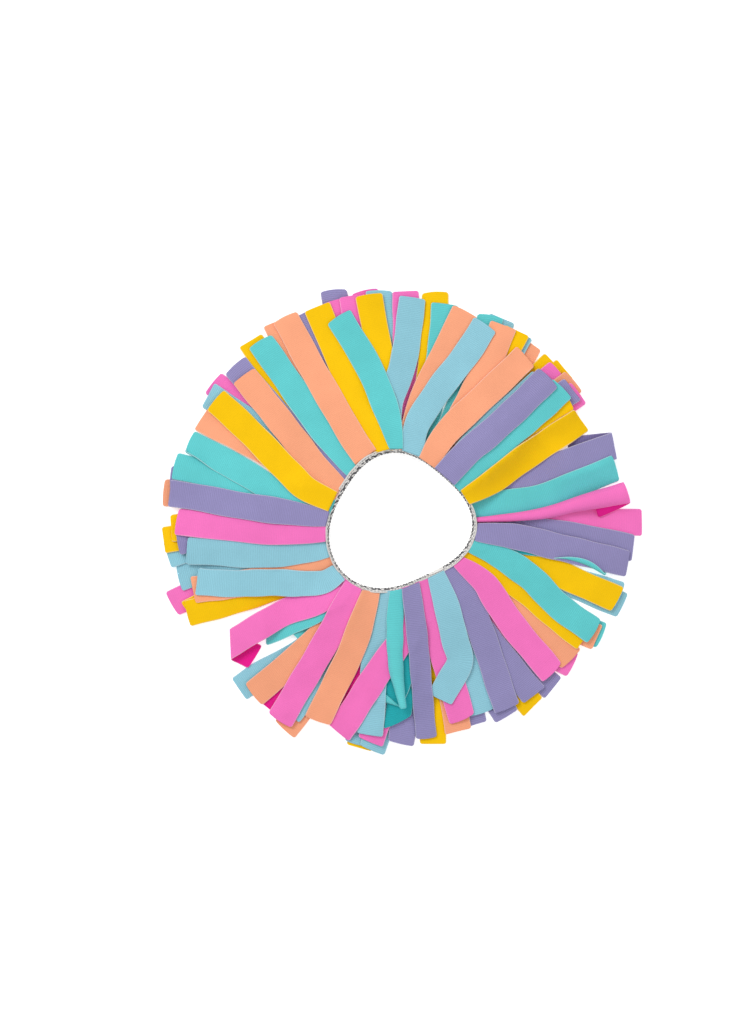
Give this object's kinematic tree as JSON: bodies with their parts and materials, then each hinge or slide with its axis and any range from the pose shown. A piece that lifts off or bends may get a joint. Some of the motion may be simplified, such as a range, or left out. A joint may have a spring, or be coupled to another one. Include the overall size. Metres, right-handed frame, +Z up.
{
  "type": "fringed pet collar",
  "caption": "Soft ring collar with a sewn neck band and a deep fringe of loose knit-fabric strips in six colours, for dressing or enriching a pet.",
  "frame": {"origin": "bottom centre of the whole object's box, on the table it lies on", "axes": "+Z up through the neck opening, +X and +Y across the ring, +X along its longest extent"},
  "size_m": [0.4624, 0.45, 0.016],
  "materials": {
    "pink_knit": "matte double-knit fabric",
    "yellow_knit": "matte double-knit fabric",
    "turquoise_knit": "matte double-knit fabric",
    "light_blue_knit": "matte double-knit fabric",
    "purple_knit": "matte double-knit fabric",
    "peach_knit": "matte double-knit fabric",
    "mixed_under_knit": "matte double-knit fabric, strips of all six colours",
    "printed_band": "woven tape, pale with a dark printed pattern inside",
    "plain_band": "woven tape, plain pale",
    "sewing_thread": "twisted polyester thread"
  },
  "bodies": {
    "collar": {"band_tape": "printed_band", "band_backing": "plain_band", "band_lap": "printed_band", "seam_thread_lower": "sewing_thread", "seam_thread_upper": "sewing_thread", "under_fringe_front_right": "mixed_under_knit", "under_fringe_front_left": "mixed_under_knit", "under_fringe_back_left": "mixed_under_knit", "under_fringe_back_right": "mixed_under_knit", "turquoise_strip_1": "turquoise_knit", "turquoise_strip_2": "turquoise_knit", "peach_strip_1": "peach_knit", "purple_strip_1": "purple_knit", "yellow_strip_1": "yellow_knit", "light_blue_strip_1": "light_blue_knit", "peach_strip_2": "peach_knit", "purple_strip_2": "purple_knit", "pink_strip_1": "pink_knit", "purple_strip_3": "purple_knit", "yellow_strip_2": "yellow_knit", "turquoise_strip_3": "turquoise_knit", "peach_strip_3": "peach_knit", "yellow_strip_3": "yellow_knit", "purple_strip_4": "purple_knit", "light_blue_strip_2": "light_blue_knit", "light_blue_strip_3": "light_blue_knit", "pink_strip_2": "pink_knit", "peach_strip_4": "peach_knit", "turquoise_strip_4": "turquoise_knit", "yellow_strip_4": "yellow_knit", "peach_strip_5": "peach_knit", "yellow_strip_5": "yellow_knit", "peach_strip_6": "peach_knit", "turquoise_strip_6": "turquoise_knit", "turquoise_strip_7": "turquoise_knit", "pink_strip_3": "pink_knit", "purple_strip_7": "purple_knit", "pink_strip_5": "pink_knit", "turquoise_strip_9": "turquoise_knit", "pink_strip_6": "pink_knit", "light_blue_strip_6": "light_blue_knit", "pink_strip_8": "pink_knit", "peach_strip_8": "peach_knit"},
    "light_blue_strip_4_flap": {"light_blue_strip_4": "light_blue_knit"},
    "purple_strip_5_flap": {"purple_strip_5": "purple_knit"},
    "yellow_strip_6_flap": {"yellow_strip_6": "yellow_knit"},
    "purple_strip_6_flap": {"purple_strip_6": "purple_knit"},
    "turquoise_strip_8_flap": {"turquoise_strip_8": "turquoise_knit"},
    "pink_strip_4_flap": {"pink_strip_4": "pink_knit"},
    "light_blue_strip_5_flap": {"light_blue_strip_5": "light_blue_knit"},
    "purple_strip_8_flap": {"purple_strip_8": "purple_knit"},
    "peach_strip_7_flap": {"peach_strip_7": "peach_knit"},
    "pink_strip_7_flap": {"pink_strip_7": "pink_knit"},
    "light_blue_strip_7_flap": {"light_blue_strip_7": "light_blue_knit"},
    "purple_strip_9_flap": {"purple_strip_9": "purple_knit"},
    "yellow_strip_7_flap": {"yellow_strip_7": "yellow_knit"},
    "turquoise_strip_10_flap": {"turquoise_strip_10": "turquoise_knit"},
    "peach_strip_9_flap": {"peach_strip_9": "peach_knit"},
    "turquoise_strip_5_flap": {"turquoise_strip_5": "turquoise_knit"}
  },
  "joints": [
    {"name": "light_blue_strip_4_lift", "type": "hinge", "parent": "collar", "child": "light_blue_strip_4_flap", "pos_m": [0.01007, 0.0664, 0.0092], "axis": [0.943, -0.3328, 0], "range_deg": [0, 70]},
    {"name": "purple_strip_5_lift", "type": "hinge", "parent": "collar", "child": "purple_strip_5_flap", "pos_m": [0.0424, 0.04505, 0.01268], "axis": [0.7533, -0.6576, 0], "range_deg": [0, 70]},
    {"name": "yellow_strip_6_lift", "type": "hinge", "parent": "collar", "child": "yellow_strip_6_flap", "pos_m": [0.06222, 0.02406, 0.0092], "axis": [0.564, -0.8258, 0], "range_deg": [0, 70]},
    {"name": "purple_strip_6_lift", "type": "hinge", "parent": "collar", "child": "purple_strip_6_flap", "pos_m": [0.07137, -0.01174, 0.01416], "axis": [-0.1938, -0.981, 0], "range_deg": [0, 70]},
    {"name": "turquoise_strip_8_lift", "type": "hinge", "parent": "collar", "child": "turquoise_strip_8_flap", "pos_m": [0.06556, -0.02662, 0.01242], "axis": [-0.5247, -0.8513, 0], "range_deg": [0, 60]},
    {"name": "pink_strip_4_lift", "type": "hinge", "parent": "collar", "child": "pink_strip_4_flap", "pos_m": [0.05503, -0.03964, 0.01417], "axis": [-0.7587, -0.6514, 0], "range_deg": [0, 70]},
    {"name": "light_blue_strip_5_lift", "type": "hinge", "parent": "collar", "child": "light_blue_strip_5_flap", "pos_m": [0.03278, -0.05304, 0.0092], "axis": [-0.8971, -0.4418, 0], "range_deg": [0, 70]},
    {"name": "purple_strip_8_lift", "type": "hinge", "parent": "collar", "child": "purple_strip_8_flap", "pos_m": [0.00877, -0.06439, 0.0092], "axis": [-0.932, -0.3625, 0], "range_deg": [0, 70]},
    {"name": "peach_strip_7_lift", "type": "hinge", "parent": "collar", "child": "peach_strip_7_flap", "pos_m": [-0.03042, -0.07032, 0.01086], "axis": [-0.986, 0.1666, 0], "range_deg": [0, 70]},
    {"name": "pink_strip_7_lift", "type": "hinge", "parent": "collar", "child": "pink_strip_7_flap", "pos_m": [-0.04819, -0.06375, 0.0092], "axis": [-0.8772, 0.4801, 0], "range_deg": [0, 60]},
    {"name": "light_blue_strip_7_lift", "type": "hinge", "parent": "collar", "child": "light_blue_strip_7_flap", "pos_m": [-0.06322, -0.05159, 0.0092], "axis": [-0.6523, 0.7579, 0], "range_deg": [0, 70]},
    {"name": "purple_strip_9_lift", "type": "hinge", "parent": "collar", "child": "purple_strip_9_flap", "pos_m": [-0.07389, 0.00257, 0.01075], "axis": [0.264, 0.9645, 0], "range_deg": [0, 70]},
    {"name": "yellow_strip_7_lift", "type": "hinge", "parent": "collar", "child": "yellow_strip_7_flap", "pos_m": [-0.06776, 0.0188, 0.01231], "axis": [0.4351, 0.9004, 0], "range_deg": [0, 60]},
    {"name": "turquoise_strip_10_lift", "type": "hinge", "parent": "collar", "child": "turquoise_strip_10_flap", "pos_m": [-0.04875, 0.04777, 0.0123], "axis": [0.6311, 0.7757, 0], "range_deg": [0, 70]},
    {"name": "peach_strip_9_lift", "type": "hinge", "parent": "collar", "child": "peach_strip_9_flap", "pos_m": [-0.03506, 0.06076, 0.01393], "axis": [0.811, 0.585, 0], "range_deg": [0, 60]},
    {"name": "turquoise_strip_5_lift", "type": "hinge", "parent": "collar", "child": "turquoise_strip_5_flap", "pos_m": [-0.00598, 0.06958, 0.0109], "axis": [1, -0.0068, 0], "range_deg": [0, 60]}
  ]
}
